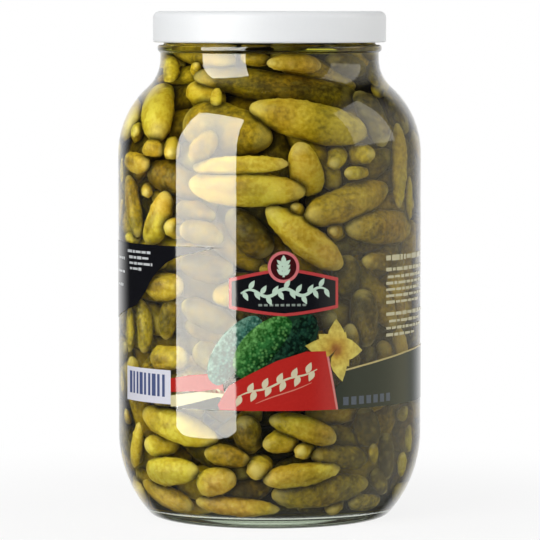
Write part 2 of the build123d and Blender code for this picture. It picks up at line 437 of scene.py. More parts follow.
labelArt = {  # outlines in mm on the label
    "swoosh": [(-102, 71.2), (-24, 71.2), (-32, 69), (-42, 67), (-49, 64), (-56, 59), (-60, 55), (-63, 51),
               (-67, 47), (-72, 43.5), (-80, 41.5), (-90, 39), (-102, 36)],
    "plate": dict(middle=6.5, half=24.4, low=44.7, high=57.9, dip=3.2, rise=4.6, rim=1.3),
    "banner": [(-23, 2.5), (-18, 11), (-9, 16), (3, 22), (16, 26), (25, 26), (26, 21), (28, 11), (30, 0.2),
               (-22, 0.2)],
    "bannerEdge": [(24, 27), (26, 27), (27, 21), (29, 11), (31, 0.2), (29, 0.2), (26, 11), (25, 21)],
    "bandFoot": [(157, 0.2), (30, 0.2), (30, 7), (29, 9), (33, 13)],
    "bandTop": [(33, 17), (44, 19), (57, 21), (74, 23), (91, 24), (120, 23), (140, 20)],
    "bandEnd": [(150, 15), (155, 8)],
    "goldLine": 0.8,
    "ribbon": [(-47, 7), (-47, 13), (-37, 15), (-27, 16), (-21, 14), (-20, 7.5), (-34, 8)],
    "creamBand": [(-47, 0.6), (-47, 5.5), (-34, 7.5), (-23, 9.5), (-19, 8), (-20, 4), (-36, 1.5)],
    "wedge": [(-46, 0.2), (-36, 2.5), (-23, 6), (-18, 5), (-18, 0.2)],
    "code": [(-81, 1.2), (-81, 16.2), (-47, 16.5), (-47, 1.5)],
    "codeBars": dict(count=9, start=-76.5, step=3.15, low=4.6, high=14.4, thin=1.6, thick=2.6),
    "shade": [(-16, 14), (-6, 17), (3, 21), (15, 26), (20, 29), (22, 36), (20, 41), (14, 42.5), (4, 42),
              (-2, 36), (-10, 26)],
    "petals": [(90, 13.5, 8.5), (24, 9, 7.5), (-4, 13.5, 9), (-50, 10, 7), (-78, 14.5, 8), (172, 14.5, 8.5),
               (140, 11, 7.5), (58, 9, 6.5)],  # lean, length, width
    "flowerAt": (30, 26.5),
    "flowerR": 12,
    # lines of small bars: start, end, height
    "lines": [(-80, -58.4, 67.6), (-78.5, -61, 65.0), (-78, -58.4, 62.4), (-77.5, -66.7, 60),
              (-100, -84, 64), (-98, -84, 58), (-100, -86, 52)],
    "lineWide": 1.15,
    "lineBars": (1.6, 5),  # shortest and longest bar
    "blockBars": (2, 7),
    # the same with their widths, on the right
    "block": [(58, 98, 65.4, 2.3), (58, 101, 60.3, 1.6), (59, 96, 57, 1.3), (58, 99, 54.2, 1.3),
              (58, 92, 51.4, 1.3), (58, 98, 48.6, 1.3), (58, 90, 45.8, 1.3), (58, 101, 40.6, 1.6),
              (60, 92, 37.4, 1.3), (58, 97, 34.4, 1.3), (58, 84, 31.4, 1.3)],
    "bandBlocks": dict(count=7, start=33.5, end=36.2, step=4.1, low=1.9, climb=0.05, high=3.6),
    "thinLine": (-6, 3.4, 18.5, 12.4, 0.25, 1, 0.5),
    "garland": dict(stem=(-14, 6.2, 21, 18.2, 0.5, 2, 0.9), leaves=11, first=0.5, leaf=(5.2, 2.8),
                    leans=(-114, 66)),
    "vine": dict(stem=(-12.5, 51.4, 26, 52.4, 1.6, 2.5, 1.5), leaves=15, first=0.4, leaf=(4.6, 2.2),
                 leans=(-62, 58), follow=1.0, lift=0.2),
    "dashes": dict(count=9, start=-4.8, end=-3.2, step=2.4, height=46.4, width=1.0),
    "emblem": dict(u=6.1, v=63, r=6.9, inside=5.6),
    "sprig": dict(stem=(6.1, 58.6, 6.3, 67.4, 0.9), top=(6.1, 64.4, 3.8, 2.2, 90), pairs=3, u=6.1,
                  low=59.4, step=2, leaf=(4.0, 1.9), leans=(42, 138)),
}

labelFruits = {  # ends and thickness, layer, then the inks' dark, light and middle shades
    "labelCucumberDark": ((4, 17, 19.5, 41.5, 13), 2, ("0d2217", "2a4f35", "16362a")),
    "labelCucumberLeft": ((-25.5, 12, -4.5, 41, 14), 2, ("27493f", "86b098", "4a7f70")),
    "labelCucumber": ((-14, 15.5, 8.5, 40.5, 15), 3, ("183f22", "76b060", "37793a")),
}

labelInks = {  # the two shades between which each ink's grain moves
    "inkBlack": ("0c0c10", "15161a"), "inkGreenBlack": ("0e1c18", "16271f"),
    "inkRed": ("b0231f", "bd2c25"), "inkCream": ("e2d9ac", "d8cf9f"),
    "inkGold": ("cbbb82", "b8a66c"), "inkWhite": ("e9e8f2", "dfdfe9"),
    "inkBlueGrey": ("4a5680", "5a6590"), "inkPaleGrey": ("d3d6d6", "c2c6c8"),
    "inkIvory": ("cfc9a6", "c2bc98"), "inkSlate": ("46505e", "525d6a"),
    "inkBottleGreen": ("14261c", "1d3a28"), "inkRose": ("d98b84", "cf7a74"),
    "inkIvoryLine": ("ddd3b4", "d0c5a4"), "inkSalmon": ("d98a76", "cf7c69"),
    "inkCrimson": ("b5383a", "c04a48"), "inkMint": ("c9dfcb", "b9d2be"),
    "inkGreyGreen": ("8f9a90", "7f8a82"), "inkPink": ("d8797b", "cc6a6d"),
    "inkMaroon": ("2a0d10", "4a1618"),
}


def leafyStem(stem, leaves, first, leaf, leans, follow=0.0, lift=0.0):  # leaves on both sides in turn
    u0, v0, u1, v1, swing, waves = stem[:6]
    out = [wavyStem(*stem)]
    for k in range(leaves):
        t = (k + first) / leaves
        v = v0 + lift + (v1 - v0) * t + follow * swing * sin(waves * 2 * pi * t)
        out.append(leafShape(u0 + (u1 - u0) * t, v, *leaf, leans[k % 2]))
    return out


def plateShape(rim, count=12):  # straight sides, the edges above and below bowed out
    s = labelArt["plate"]
    out = []
    for edge, bow, way in ((s["high"] - rim, s["rise"], 1), (s["low"] + rim, -s["dip"], -1)):
        for i in range(count + 1):
            x = (2 * i / count - 1) * way
            out.append((s["middle"] + x * (s["half"] - rim), edge + bow * (1 - abs(x) ** 1.3)))
    return out


def flowerTone(u, v):
    x, y = u - labelArt["flowerAt"][0], v - labelArt["flowerAt"][1]
    return sqrt(x * x + y * y) / labelArt["flowerR"], atan2(y, x)


def makeLabel():
    art = labelArt
    full = labelShape["half"]
    high = labelShape["height"]
    inks = {name: printedInk(name, *shades) for name, shades in labelInks.items()}
    film = [(-full, 0), (full, 0), (full, high), (-full, high)]
    printShapes("labelFilm", [film], 0, clearFilm(), film=True)
    printShapes("labelSwoosh", [art["swoosh"]], 1, inks["inkBlack"])
    printShapes("labelBand", [art["bandFoot"] + art["bandTop"] + art["bandEnd"]], 1, inks["inkGreenBlack"])
    printShapes("labelRibbon", [art["ribbon"]], 1, inks["inkRed"])
    printShapes("labelCream", [art["creamBand"]], 1, inks["inkCream"])
    printShapes("labelWedge", [art["wedge"]], 2, inks["inkGreenBlack"])
    half = art["goldLine"] / 2
    goldLine = [(u, v + half) for u, v in art["bandTop"]] + [(u, v - half) for u, v in art["bandTop"][::-1]]
    printShapes("labelGold", [goldLine], 2, inks["inkGold"])
    printShapes("labelCode", [art["code"]], 1, inks["inkWhite"])
    s = art["codeBars"]
    bars = [(s["start"] + k * s["step"], s["thin"] if k % 3 else s["thick"]) for k in range(s["count"])]
    bars = [barShape(u, s["low"], u, s["high"], wide) for u, wide in bars]
    printShapes("labelCodeBars", bars, 2, inks["inkBlueGrey"])
    wide = art["lineWide"]
    lines = [shape for a, b, v in art["lines"] for shape in wordBars(a, b, v, wide, *art["lineBars"])]
    printShapes("labelLines", lines, 2, inks["inkPaleGrey"])
    block = [shape for a, b, v, wide in art["block"] for shape in wordBars(a, b, v, wide, *art["blockBars"])]
    printShapes("labelBlock", block, 1, inks["inkIvory"])
    s = art["bandBlocks"]
    blocks = []
    for k in range(s["count"]):
        a, b, v = s["start"] + k * s["step"], s["end"] + k * s["step"], s["low"] + s["climb"] * k
        blocks.append([(a, v), (b, v), (b, v + s["high"]), (a, v + s["high"])])
    printShapes("labelBandBlocks", blocks, 2, inks["inkSlate"])
    printShapes("labelShade", [art["shade"]], 1, inks["inkBottleGreen"])
    for name, (spine, layer, shades) in labelFruits.items():
        ink = printedCucumber(name.replace("label", "ink"), *shades)
        printShapes(name, [cucumberShape(*spine)], layer, ink, tone=cucumberTone(*spine))
    petals = [leafShape(*art["flowerAt"], size, wide, lean) for lean, size, wide in art["petals"]]
    printShapes("labelFlower", petals, 4, printedFlower(), tone=flowerTone)
    printShapes("labelBannerEdge", [art["bannerEdge"]], 4, inks["inkRose"])
    printShapes("labelBanner", [art["banner"]], 5, inks["inkRed"])
    printShapes("labelGarland", leafyStem(**art["garland"]), 6, inks["inkIvoryLine"])
    printShapes("labelThinLine", [wavyStem(*art["thinLine"])], 6, inks["inkSalmon"])
    printShapes("labelCartouche", [plateShape(0)], 5, inks["inkCrimson"])
    printShapes("labelPanel", [plateShape(art["plate"]["rim"])], 6, inks["inkBlack"])
    printShapes("labelVine", leafyStem(**art["vine"]), 7, inks["inkMint"])
    s = art["dashes"]
    v, step, wide = s["height"], s["step"], s["width"]
    dashes = [barShape(s["start"] + step * k, v, s["end"] + step * k, v, wide) for k in range(s["count"])]
    printShapes("labelDashes", dashes, 7, inks["inkGreyGreen"])
    s = art["emblem"]
    printShapes("labelRing", [ringShape(s["u"], s["v"], s["r"])], 7, inks["inkPink"])
    printShapes("labelRingInside", [ringShape(s["u"], s["v"], s["inside"])], 8, inks["inkMaroon"])
    s = art["sprig"]
    sprig = [barShape(*s["stem"]), leafShape(*s["top"])]
    for k in range(s["pairs"]):
        sprig += [leafShape(s["u"], s["low"] + s["step"] * k, *s["leaf"], lean) for lean in s["leans"]]
    printShapes("labelSprig", sprig, 9, inks["inkMint"])


brineSet = {"level": 219.1, "swell": 0.3}  # mm; it reaches this far into the wall, so no air gap shows


def makeBrine(brine):
    points = insideProfile(brineSet["swell"], brineSet["level"])
    points += linePoints(points[-1][0], brineSet["level"], 0, brineSet["level"])
    return makePiece("brine", spinProfile(points), brine, ["gherkins_in_brine"])


# gherkins against the front of the jar, all in mm. For each round end's middle, as it shows from the front:
# right of the jar's axis, up, and behind the glass. Then the thickness, and the shade from 0, pale yellow,
# to 1, dark olive; towards the right, where less light falls, the shades are set darker as painted shade
frontGherkins = [
    # neck and shoulder, left
    (-44, 203, 0, -44, 198, 0, 10, 0.3), (-32, 203, 3, -32, 200, 6, 5, 0.2),
    (-33, 192, 0, -28, 188, 3, 12, 0.1), (-23, 192, 1, -23, 188, 2, 5, 0.1),
    (-25, 197, 0, 32, 191, 0, 17, 0.75), (-50, 189, 0, -49, 177, 0, 16, 0.1),
    (-59, 174, 0, -58, 172, 9, 7, 0.15), (-29, 178, 2, -10, 174, 1, 20, 0.55),
    (-53, 167, 1, -49, 167, 2, 7, 0.3), (-43, 166, 0, -43, 168, 10, 8, 0.0),
    (-62, 161, 0, -55, 160, 1, 9, 0.2), (-49, 156, 1, -36, 152, 2, 15, 0.65),
    (-54, 148, 0, -53, 149, 12, 6, 0.1), (-62, 150, 0, -59, 132, 0, 10, 0.5),
    (-46, 143, 0, -51, 130, 0, 12, 0.1), (-43, 133, 0, -40, 132, 6, 9, 0.05),
    (-63, 127, 0, -59, 127, 4, 5, 0.1),
    # middle, above the label
    (-34, 132, 1, -25, 130, 2, 11, 0.6), (-30, 161, 0, 4, 161, 0, 8, 0.15),
    (-28, 152, 0, 8, 150, 0, 15, 0.15), (-30, 166, 0, -26, 171, 2, 10, 0.4),
    (-37, 141, 3, -28, 139, 4, 9, 0.7), (-13, 136, 4, -5, 127, 4, 14, 0.85),
    # neck and shoulder, right
    (-9, 208, 3, -3, 207, 3, 7, 0.5), (3, 205, 1, 18, 204, 2, 9, 0.15),
    (30, 205, 4, 39, 201, 4, 12, 0.85), (46, 202, 0, 47, 195, 0, 8, 0.75),
    (39, 187, 2, 46, 175, 2, 13, 0.9), (54, 187, 0, 58, 178, 0, 8, 0.75),
    (-1, 184, 0, 35, 176, 1, 16, 0.3), (14, 164, 0, 17, 154, 5, 14, 0.15),
    (28, 162, 1, 30, 166, 14, 8, 0.45), (43, 165, 0, 37, 165, 8, 9, 0.4),
    (35, 157, 0, 41, 157, 5, 6, 0.35), (22, 140, 0, 46, 148, 2, 16, 0.45),
    (39, 134, 0, 58, 132, 0, 15, 0.55), (28, 132, 1, 30, 131, 12, 7, 0.45),
    (4, 138, 0, 26, 120, 0, 14, 0.15), (12, 142, 2, 14, 140, 6, 6, 0.4),
    (57, 173, 0, 57, 145, 0, 9, 0.3), (62, 152, 0, 62, 137, 0, 5, 0.1),
    # behind the label
    (-50, 107, 0, -43, 107, 0, 13, 0.35), (-56, 96, 0, -55, 81, 0, 9, 0.5),
    (-45, 98, 3, -46, 88, 3, 9, 0.6), (-48, 75, 0, -40, 76, 0, 11, 0.3),
    (-62, 94, 0, -62, 79, 0, 6, 0.4), (-34, 117, 2, -22, 115, 2, 12, 0.7),
    (35, 115, 2, 36, 107, 2, 12, 0.85), (40, 100, 0, 42, 87, 0, 13, 0.85),
    (57, 112, 0, 58, 95, 0, 10, 0.3), (57, 84, 0, 60, 69, 0, 9, 0.3),
    (44, 118, 0, 57, 116, 0, 8, 0.65), (-33, 98, 2, -19, 92, 2, 12, 0.75),
    (-19, 104, 3, -7, 108, 3, 12, 0.4), (-28, 78, 2, -20, 75, 2, 12, 0.7),
    (0, 70, 0, 15, 73, 0, 12, 0.3), (24, 66, 1, 37, 64, 1, 12, 0.7),
    (46, 60, 0, 55, 62, 0, 10, 0.75),
    # below the label
    (-51, 49, 0, -29, 42, 0, 14, 0.25), (-58, 42, 0, -60, 28, 0, 7, 0.15),
    (-52, 36, 0, -44, 37, 7, 9, 0.15), (-50, 25, 0, -36, 26, 0, 12, 0.1),
    (-26, 21, 1, -20, 23, 0, 12, 0.1), (-24, 35, 2, -13, 33, 2, 9, 0.4),
    (-10, 46, 1, -9, 41, 4, 12, 0.75), (2, 40, 0, 8, 41, 3, 10, 0.2),
    (-5, 28, 0, -3, 30, 10, 10, 0.1), (2, 24, 0, 26, 28, 0, 10, 0.2),
    (5, 49, 1, 24, 43, 1, 11, 0.3), (31, 42, 2, 38, 39, 5, 11, 0.75),
    (14, 36, 0, 18, 37, 12, 7, 0.15), (23, 33, 2, 39, 32, 2, 10, 0.7),
    (8, 17, 1, 37, 19, 1, 14, 0.65), (-53, 17, 0, -38, 11, 0, 10, 0.2),
    (-28, 12, 0, 0, 10, 0, 9, 0.25), (28, 10, 0, 29, 13, 8, 8, 0.4),
    (38, 12, 0, 46, 11, 0, 8, 0.5), (42, 48, 1, 43, 42, 1, 12, 0.85),
    (45, 36, 1, 45, 31, 3, 5, 0.45), (60, 50, 0, 58, 48, 8, 6, 0.1),
    (62, 41, 0, 62, 34, 0, 5, 0.1), (59, 29, 0, 59, 24, 0, 6, 0.1),
    (51, 38, 3, 52, 25, 4, 8, 0.95), (50, 17, 0, 47, 23, 3, 7, 0.85),
    (-16, 18, 4, -4, 20, 6, 10, 0.8), (17, 11, 4, 23, 10, 4, 8, 0.9),
    # slim ones at the left edge, where the glass squeezes what lies behind it
    (-64, 48, 0, -63, 45, 5, 5, 0.2), (-66, 31, 0, -65, 25, 0, 4, 0.3),
    (-66, 160, 0, -66, 153, 0, 4, 0.3), (-66, 142, 0, -67, 133, 0, 4, 0.4),
    (-66, 104, 0, -66, 98, 0, 4, 0.3), (-66, 65, 0, -66, 59, 0, 4, 0.3),
]

gherkinSet = {
    "fillers": 165,  # gherkins at the sides, the back and further in
    "behind": 60,  # the second layer, seen between the front ones
    "bottomRing": 12,  # gherkins lying round the foot
    "lowest": 14.0,  # mm, the lowest middle
    "underLevel": 6.0,  # mm from the highest middle to the brine's level
    "frontBow": 580.0,  # mm; a gherkin's bow is its length squared over this, so that it follows the wall
    "fillerBow": 620.0,
    "bowRest": 0.33,  # the mean of a bow along the gherkin, so that it leaves the middle in place
    "sides": (82, 278),  # degrees round the jar, 0 at the camera's side
    "outerDepth": (0, 9),  # mm behind the glass
    "innerDepth": (12, 24),
    "length": (40, 9),  # mm, the mean and its spread
    "slender": (0.26, 0.38),  # thickness over length
    "turns": (40, 18),  # degrees, the spread of how it leans and how far it swings inwards
    "secondReach": 84,  # degrees to both sides
    "secondHigh": 160.0,  # mm
    "frontPower": (2.4, 3.3),  # how blunt the ends are
    "frontTaper": 0.14,  # one end thicker than the other
    "power": (2.5, 3.6),
    "taper": 0.16,
    "paintedShadeGap": 2.8,  # mm to the next gherkin, below which its skin is darkened as painted shade
    "paintedShadeReach": 48.0,  # mm from a gherkin's middle, beyond which nothing can touch it
    "paleShade": 0.28,  # front gherkins below this shade are one piece, the others another
    "deepR": 40.0,  # mm, nearer to the axis than this a gherkin counts as deep
    "backFrom": 8.0,  # mm behind the axis
}

settleSet = {
    "rounds": 220,
    "balls": 7,  # along each gherkin
    "reach": 0.80,  # of the half length, to the last ball's middle
    "press": 0.9,  # of its thickness is what a gherkin keeps clear of the others
    "searchEvery": 8,  # rounds
    "searchGap": 2.0,  # mm
    "wallGap": 0.25,  # mm
    "underLevel": 2.5,  # mm
    "coreR": 30.0,  # mm, the dark middle that no eye reaches
    "coreSink": 0.3,
    "corePush": 0.5,
    "frontEase": 0.2,  # how readily a front gherkin gives way, beside 1 for the others
    "speed": 1.5,
    "mostTurn": 0.12,  # radians in a round
    "pull": 0.40,  # the front ones stay about where they show
    "latePull": 0.25,
    "late": 0.7,  # of the rounds
    "inOut": 0.85,  # of the pull is left out towards the glass
}


def roundness(s, power, taper):  # the radius along a gherkin, s from -1 at the stem to 1 at the blossom end
    return np.sqrt(np.clip(1 - np.abs(s) ** power, 0, 1)) * (1 - taper * s - 0.10 * s * s)


def wallAt(profile, heights):
    p = np.array(profile)
    p = p[p[:, 0] > gherkinSet["deepR"]]  # without the jar's floor
    return np.interp(heights, p[:, 1], p[:, 0])


def frameOnWall(azimuth, height, profile):
    a = radians(azimuth)
    r = wallAt(profile, height)
    slope = (wallAt(profile, height + 1) - wallAt(profile, height - 1)) / 2
    radial = np.array([sin(a), -cos(a), 0.0])
    across = np.array([cos(a), sin(a), 0.0])
    up = radial * slope + np.array([0, 0, 1.0])
    up /= np.linalg.norm(up)
    inward = np.cross(up, across)
    inward *= -1 if np.dot(inward, radial) > 0 else 1
    return radial * r + np.array([0, 0, height]), across, up, inward


# the point at this depth that shows there through glass and brine
def behindGlass(across, height, depth, profile):
    inner = wallAt(profile, height)
    outer = inner + jarShape["wall"]
    slope = (wallAt(profile, height + 1) - wallAt(profile, height - 1)) / 2
    r = inner - depth * sqrt(1 + slope ** 2)
    x = min(max(across, -0.985 * outer), 0.985 * outer)
    surface = asin(x / outer)
    sight = atan2(x, cameraSet["distance"] / mm - outer * cos(surface))
    # how far the sight line would pass the jar's axis
    miss = outer * sin(max(min(surface + sight, pi / 2), -pi / 2))
    azimuth = surface + asin(miss / (glassIndex * inner)) - asin(miss / (glassIndex * outer))
    azimuth += asin(miss / (brineIndex * r)) - asin(miss / (brineIndex * inner))
    tilt = -atan2(slope, 1)
    down = atan2(lidTop / mm - height, cameraSet["distance"] / mm)
    fall = (outer - r) * sqrt(1 + slope ** 2) * tan(tilt - asin(sin(tilt - down) / brineIndex))
    return np.array([r * sin(azimuth), -r * cos(azimuth), height - fall])


def rotationFrom(longAxis, outward):  # columns: bend direction, side, long axis
    z = longAxis / np.linalg.norm(longAxis)
    x = outward - z * np.dot(outward, z)
    x /= np.linalg.norm(x)
    return np.stack([x, np.cross(z, x), z], axis=1)


def frontRow(place, profile):
    x0, z0, depth0, x1, z1, depth1, thick, shade = place
    first = behindGlass(x0, z0, thick / 2 + depth0, profile)
    last = behindGlass(x1, z1, thick / 2 + depth1, profile)
    run = last - first
    reach = np.linalg.norm(run)
    middle = (first + last) / 2
    radial = middle * np.array([1, 1, 0]) / np.linalg.norm(middle[:2])
    level = np.array([-radial[1], radial[0], 0])
    outward = radial if abs(np.dot(run, radial)) < 0.8 * reach else np.array([0, 0, 1.0])
    turned = rotationFrom(run, outward)
    length = reach + thick
    bend = -(length * np.dot(run / reach, level)) ** 2 / gherkinSet["frontBow"]
    middle = middle - turned[:, 0] * bend * ((reach / length) ** 2 - gherkinSet["bowRest"])
    return dict(middle=middle, turned=turned, length=length, thick=thick, shade=shade, front=True,
                bend=(bend, rng.normal(0, 0.5)), power=float(rng.uniform(*gherkinSet["frontPower"])),
                taper=float(rng.uniform(-gherkinSet["frontTaper"], gherkinSet["frontTaper"])))


def fillerRow(azimuth, height, depth, lean, swing, length, thick, profile):
    spot, across, up, inward = frameOnWall(azimuth, height, profile)
    flat = across * cos(radians(lean)) + up * sin(radians(lean))
    axis = flat * cos(radians(swing)) + inward * sin(radians(swing))
    bend = -(length * cos(radians(lean))) ** 2 / gherkinSet["fillerBow"] + rng.normal(0, 0.5)
    # deeper gherkins get a darker shade, as painted shade
    shade = rng.beta(2, 2.6) + 0.015 * max(depth - 4, 0)
    return dict(middle=spot + inward * (thick / 2 + depth), turned=rotationFrom(axis, -inward), length=length,
                thick=thick, shade=float(np.clip(shade, 0.05, 1)), front=False,
                bend=(bend, rng.normal(0, 1.3)), power=float(rng.uniform(*gherkinSet["power"])),
                taper=float(rng.uniform(-gherkinSet["taper"], gherkinSet["taper"])))


def chooseGherkins():
    profile = insideProfile()
    rows = [frontRow(place, profile) for place in frontGherkins]
    g = gherkinSet
    low = g["lowest"]
    top = brineSet["level"] - g["underLevel"]
    for i in range(g["fillers"]):
        height = low + (top - low) * (i + 0.5) / g["fillers"]
        outer = i % 5 < 3  # three of five lie at the glass, beside and behind the front ones
        azimuth = rng.uniform(*g["sides"]) if outer else rng.uniform(0, 360)
        depth = rng.uniform(*g["outerDepth"]) if outer else rng.uniform(*g["innerDepth"])
        length = float(np.clip(rng.normal(*g["length"]), 26, 60))
        thick = float(np.clip(length * rng.uniform(*g["slender"]), 9, 16.5))
        lean, swing = rng.normal(0, g["turns"][0]), rng.normal(0, g["turns"][1])
        rows.append(fillerRow(azimuth, height, depth, lean, swing, length, thick, profile))
    for i in range(g["behind"]):
        height = low + g["secondHigh"] * (i + 0.5) / g["behind"]
        length = rng.uniform(30, 48)
        azimuth, depth = rng.uniform(-g["secondReach"], g["secondReach"]), rng.uniform(9, 14)
        lean, swing = rng.normal(0, 45), rng.normal(0, 10)
        thick = length * rng.uniform(0.28, 0.36)
        rows.append(fillerRow(azimuth, height, depth, lean, swing, length, thick, profile))
    for i in range(g["bottomRing"]):
        azimuth = 84 + 192 * (i + 0.5) / g["bottomRing"]
        lean, length, thick = rng.normal(0, 8), rng.uniform(30, 40), rng.uniform(10, 13)
        rows.append(fillerRow(azimuth, low, 1, lean, 0, length, thick, profile))
    return rows


# how far each ball is pushed by balls of other gherkins, and how often
def pushApart(p, size, ease, pairs):
    a, b = pairs
    d = p[a] - p[b]
    dist = np.sqrt((d ** 2).sum(1)) + 1e-9
    over = np.clip(size[a] + size[b] - dist, 0, None)
    share = ease[a] / (ease[a] + ease[b])
    step = d / dist[:, None] * over[:, None]
    push = np.zeros_like(p)
    for k in range(3):
        push[:, k] = np.bincount(a, step[:, k] * share, len(p))
        push[:, k] -= np.bincount(b, step[:, k] * (1 - share), len(p))
    touching = (over > 0).astype(float)
    return push, np.bincount(a, touching, len(p)) + np.bincount(b, touching, len(p))


# away from the glass, the brine's level and the dark middle
def pushInside(p, size, wall, inward, push, hits):
    s = settleSet
    rho = np.hypot(p[:, 0], p[:, 1]) + 1e-9
    flat = np.stack([rho, p[:, 2]], axis=1)
    nearest = ((flat[:, None, :] - wall[None, :, :]) ** 2).sum(2).argmin(1)
    clear = ((flat - wall[nearest]) * inward[nearest]).sum(1)
    over = np.clip(size + s["wallGap"] - clear, 0, None)
    move = inward[nearest] * over[:, None]
    push[:, 0] += move[:, 0] * p[:, 0] / rho
    push[:, 1] += move[:, 0] * p[:, 1] / rho
    push[:, 2] += move[:, 1]
    hits += over > 0
    over = np.clip(p[:, 2] + size - (brineSet["level"] - s["underLevel"]), 0, None)
    push[:, 2] -= over
    hits += over > 0
    over = np.clip(s["coreR"] + size * s["coreSink"] - rho, 0, None)
    push[:, 0] += over * p[:, 0] / rho * s["corePush"]
    push[:, 1] += over * p[:, 1] / rho * s["corePush"]


def turnedBy(spin, turned):  # each gherkin turned about its own axis of spin
    angle = np.linalg.norm(spin, axis=1) + 1e-12
    axis = spin / angle[:, None]
    angle = np.clip(angle, 0, settleSet["mostTurn"])
    cross = np.zeros((len(spin), 3, 3))
    cross[:, 0, 1], cross[:, 0, 2], cross[:, 1, 2] = -axis[:, 2], axis[:, 1], -axis[:, 0]
    cross -= cross.transpose(0, 2, 1)
    bySine = np.sin(angle)[:, None, None] * cross
    return (np.eye(3) + bySine + (1 - np.cos(angle))[:, None, None] * (cross @ cross)) @ turned


def settleGherkins(rows):  # balls along each gherkin push apart until they only press on each other
    n = len(rows)
    beads = settleSet["balls"]
    rest = gherkinSet["bowRest"]
    keys = ("middle", "turned", "length", "thick", "bend", "front")
    middle, turned, length, thick, bend, front = [np.array([row[key] for row in rows]) for key in keys]
    home, homeTurned = middle.copy(), turned.copy()
    s = np.linspace(-settleSet["reach"], settleSet["reach"], beads)
    local = np.zeros((n, beads, 3))
    local[:, :, 2] = s * length[:, None] / 2
    local[:, :, 0] = bend[:, :1] * (s ** 2 - rest)
    local[:, :, 1] = bend[:, 1:] * (s ** 2 - rest)
    size = np.array([thick[i] / 2 * roundness(s, rows[i]["power"], rows[i]["taper"]) for i in range(n)])
    size = size.ravel() * settleSet["press"]
    owner = np.repeat(np.arange(n), beads)
    ease = np.where(front, settleSet["frontEase"], 1.0)[owner]
    profile = np.array(insideProfile(0, brineSet["level"]))
    run = np.diff(profile, axis=0)
    inward = np.stack([-run[:, 1], run[:, 0]], axis=1)
    inward /= np.linalg.norm(inward, axis=1)[:, None] + 1e-9
    wall = (profile[1:] + profile[:-1]) / 2
    reach = (local ** 2).sum(2)
    outward = home / np.linalg.norm(home[:, :2], axis=1)[:, None] * np.array([1, 1, 0])
    for turn in range(settleSet["rounds"]):
        arm = np.einsum("nij,nkj->nki", turned, local)
        p = (middle[:, None, :] + arm).reshape(-1, 3)
        if turn % settleSet["searchEvery"] == 0:
            q = p.astype(np.float32)
            gap = ((q[:, None, :] - q[None, :, :]) ** 2).sum(2)
            near = gap < (size[:, None] + size[None, :] + settleSet["searchGap"]).astype(np.float32) ** 2
            near &= owner[:, None] < owner[None, :]
            pairs = np.nonzero(near)
        push, hits = pushApart(p, size, ease, pairs)
        pushInside(p, size, wall, inward, push, hits)
        push = push.reshape(n, beads, 3)
        hits = hits.reshape(n, beads)
        total = np.maximum(hits.sum(1), 1)[:, None]
        middle += settleSet["speed"] * push.sum(1) / total
        turned = turnedBy(np.cross(arm, push).sum(1) / (reach.sum(1)[:, None] / beads * total), turned)
        pull = settleSet["pull"] if turn < settleSet["rounds"] * settleSet["late"] else settleSet["latePull"]
        away = home - middle
        inOut = (away * outward).sum(1)[:, None] * outward
        middle[front] += (away - inOut * settleSet["inOut"])[front] * pull
        blend = turned.copy()
        blend[front] += homeTurned[front] * pull
        u, _, vt = np.linalg.svd(blend)
        turned = u @ vt
    arm = np.einsum("nij,nkj->nki", turned, local)
    balls = (middle[:, None, :] + arm).reshape(-1, 3)
    return middle, turned, (balls, size / settleSet["press"], owner)


def hollowness(points, index, chains):  # painted shade where gherkins meet: 1 where the next gherkin touches, 0 where it is far
    balls, size, owner = chains
    near = (owner != index) & (np.linalg.norm(balls - points.mean(0), axis=1) < gherkinSet["paintedShadeReach"])
    gap = np.sqrt(((points[:, None, :] - balls[None, near, :]) ** 2).sum(2)) - size[near]
    return np.clip(1 - gap.min(1) / gherkinSet["paintedShadeGap"], 0, 1)


skinSet = {
    "warts": 0.16,  # for each square mm of length times thickness
    "fewerWarts": 0.10,  # on gherkins that aren't at the front
    "wartWide": (0.8, 1.4),  # mm, drawn wider than real ones so that they show
    "wartTall": (0.2, 0.65),  # mm
    "wartSoft": 0.62,
    "ridge": (0.02, 0.05),  # of the radius, three ridges as a cucumber has three seed chambers
    "lump": (0.006, 0.022),  # of the radius
}


# the template ball drawn out into one gherkin, in mm, not placed yet
def gherkinPoints(row, template, detail):
    z = np.clip(template[:, 2], -1, 1)
    around = np.arctan2(template[:, 1], template[:, 0])
    s = 0.5 * z + 0.5 * (2 / pi) * np.arcsin(z)
    half = row["length"] / 2
    r = row["thick"] / 2 * roundness(s, row["power"], row["taper"])
    body = np.clip((1 - np.abs(s)) * 3, 0, 1)
    ridge = rng.uniform(*skinSet["ridge"]) * np.cos(3 * around + rng.uniform(0, 6) + 0.6 * s)
    lump = sum(rng.uniform(*skinSet["lump"])
               * np.cos(rng.uniform(1.5, 5.5) * s * 1.7 + m * around + rng.uniform(0, 6))
               for m in (0, 1, 2, 2))
    r = r * (1 + (ridge + lump) * body)
    count = int(row["length"] * row["thick"] * skinSet["warts" if detail else "fewerWarts"])
    wartS, wartA = rng.uniform(-0.92, 0.92, count), rng.uniform(-pi, pi, count)
    wide = rng.uniform(*skinSet["wartWide"], count)
    tall = rng.uniform(*skinSet["wartTall"], count)
    gapS = (s[:, None] - wartS[None, :]) * half
    gapA = (around[:, None] - wartA[None, :] + pi) % (2 * pi) - pi
    gapA = gapA * np.maximum(r, 0.5)[:, None]
    bump = np.exp(-(gapS ** 2 + gapA ** 2) / (2 * (wide * skinSet["wartSoft"]) ** 2))
    wart = (bump * (tall / skinSet["wartTall"][1])).max(1)
    r = r + (bump * tall).max(1) * np.clip(body * 2, 0, 1)
    bow = s ** 2 - gherkinSet["bowRest"]
    spine = np.stack([row["bend"][0] * bow, row["bend"][1] * bow, s * half], axis=1)
    points = spine + np.stack([r * np.cos(around), r * np.sin(around), np.zeros_like(r)], axis=1)
    return points, wart, s


